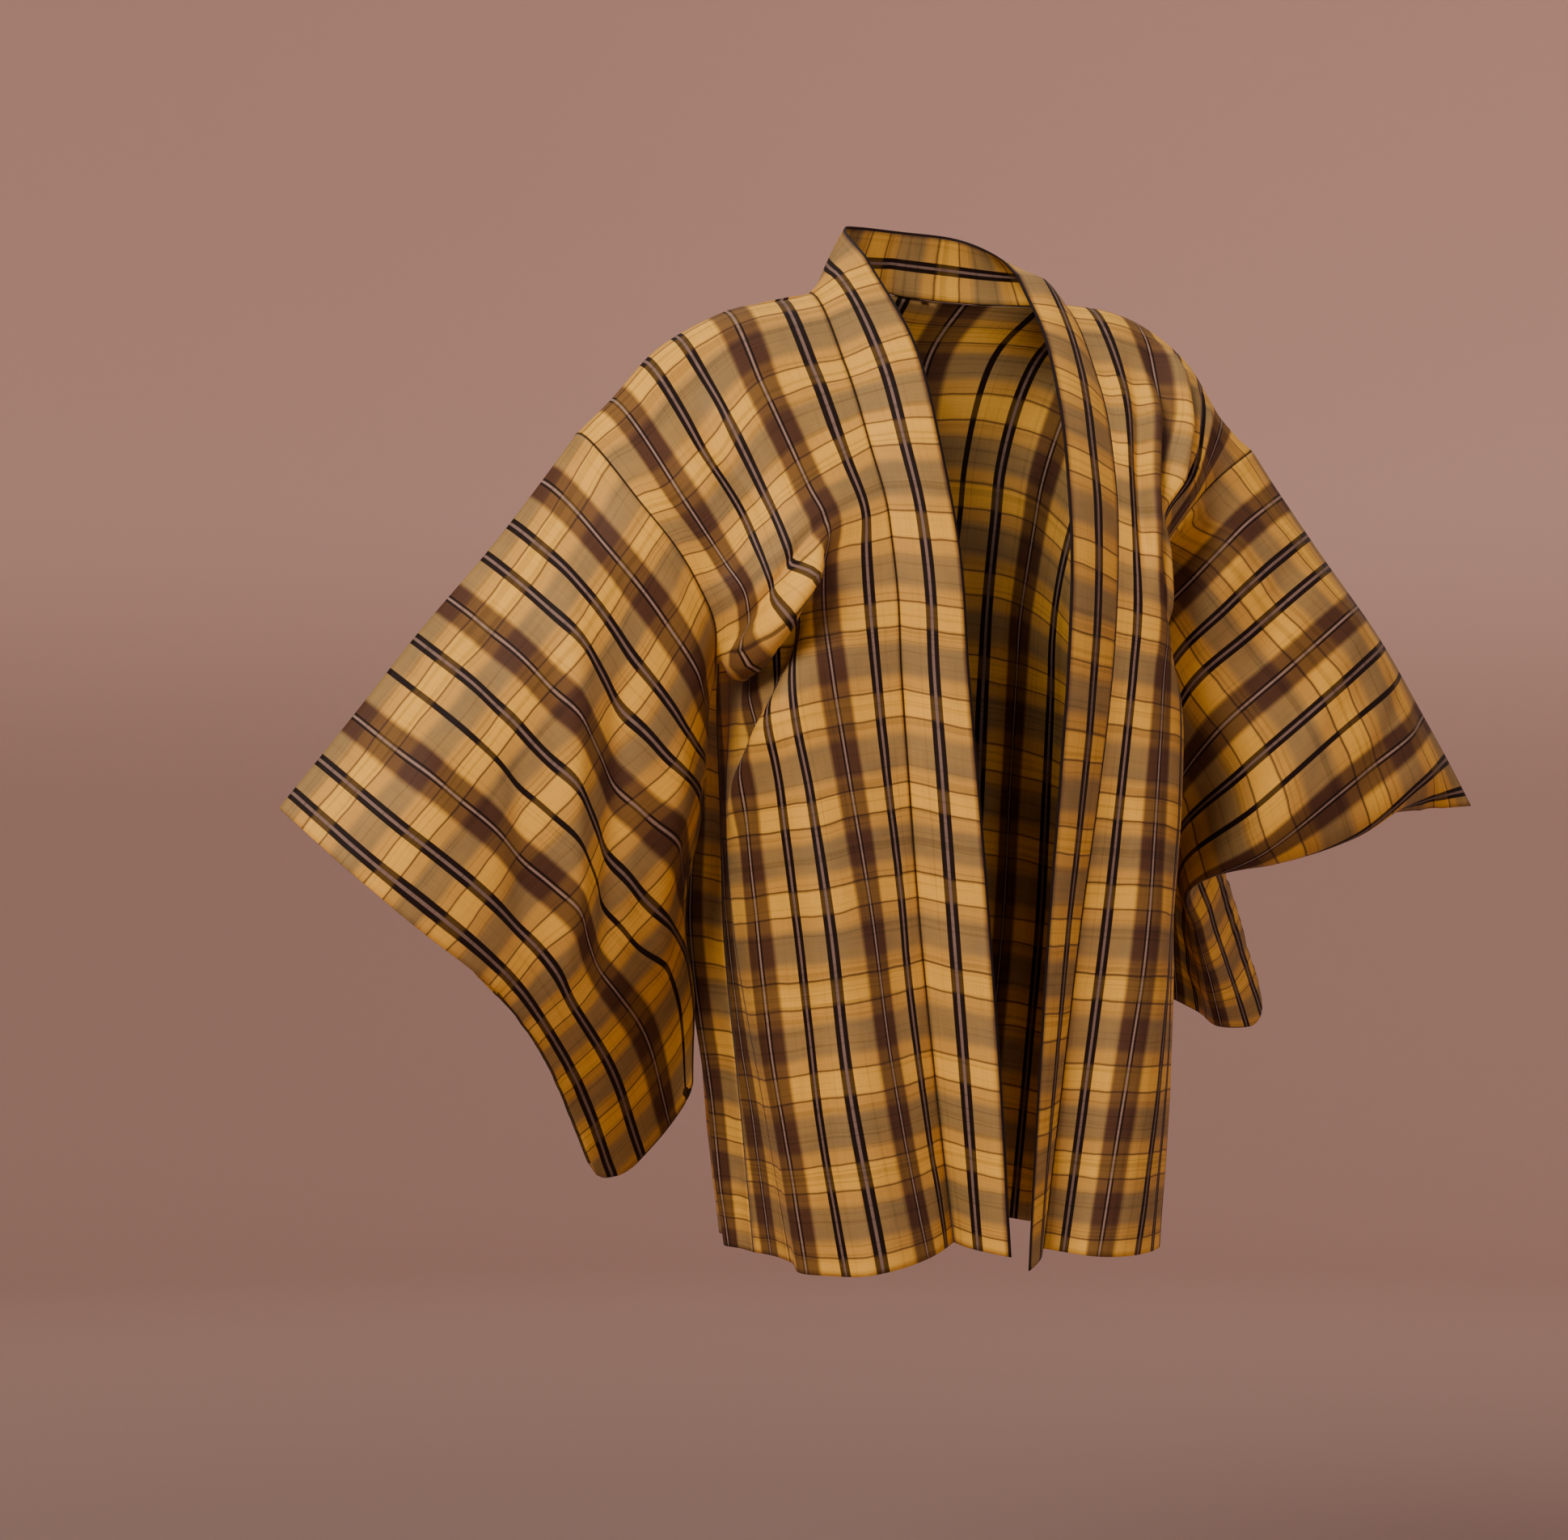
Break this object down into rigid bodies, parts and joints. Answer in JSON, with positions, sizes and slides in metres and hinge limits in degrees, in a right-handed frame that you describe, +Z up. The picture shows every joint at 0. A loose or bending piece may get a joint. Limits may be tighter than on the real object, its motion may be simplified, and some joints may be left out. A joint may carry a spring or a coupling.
{
  "type": "haori jacket",
  "caption": "Haori jacket worn open: body over the shoulders, side gussets, long collar band turned along both fronts and hanging bag sleeves with small cuffs.",
  "frame": {"origin": "between the shoulders, on the body's middle plane, level with the sides of the neck", "axes": "+Z up, -Y towards the front of the jacket, +X towards the wearer's left"},
  "size_m": [1.0351, 0.3283, 0.769],
  "materials": {
    "silk_body": "soft silk, gold, grey and brown check",
    "silk_gusset": "soft silk, gold, grey and brown check",
    "silk_sleeve": "soft silk, gold, grey and brown check",
    "silk_collar": "soft silk, gold check with a double dark line"
  },
  "bodies": {
    "root": {"body_right": "silk_body", "body_left": "silk_body", "gusset_right": "silk_gusset", "gusset_left": "silk_gusset", "sleeve_right": "silk_sleeve", "sleeve_left": "silk_sleeve", "collar": "silk_collar"}
  },
  "joints": []
}
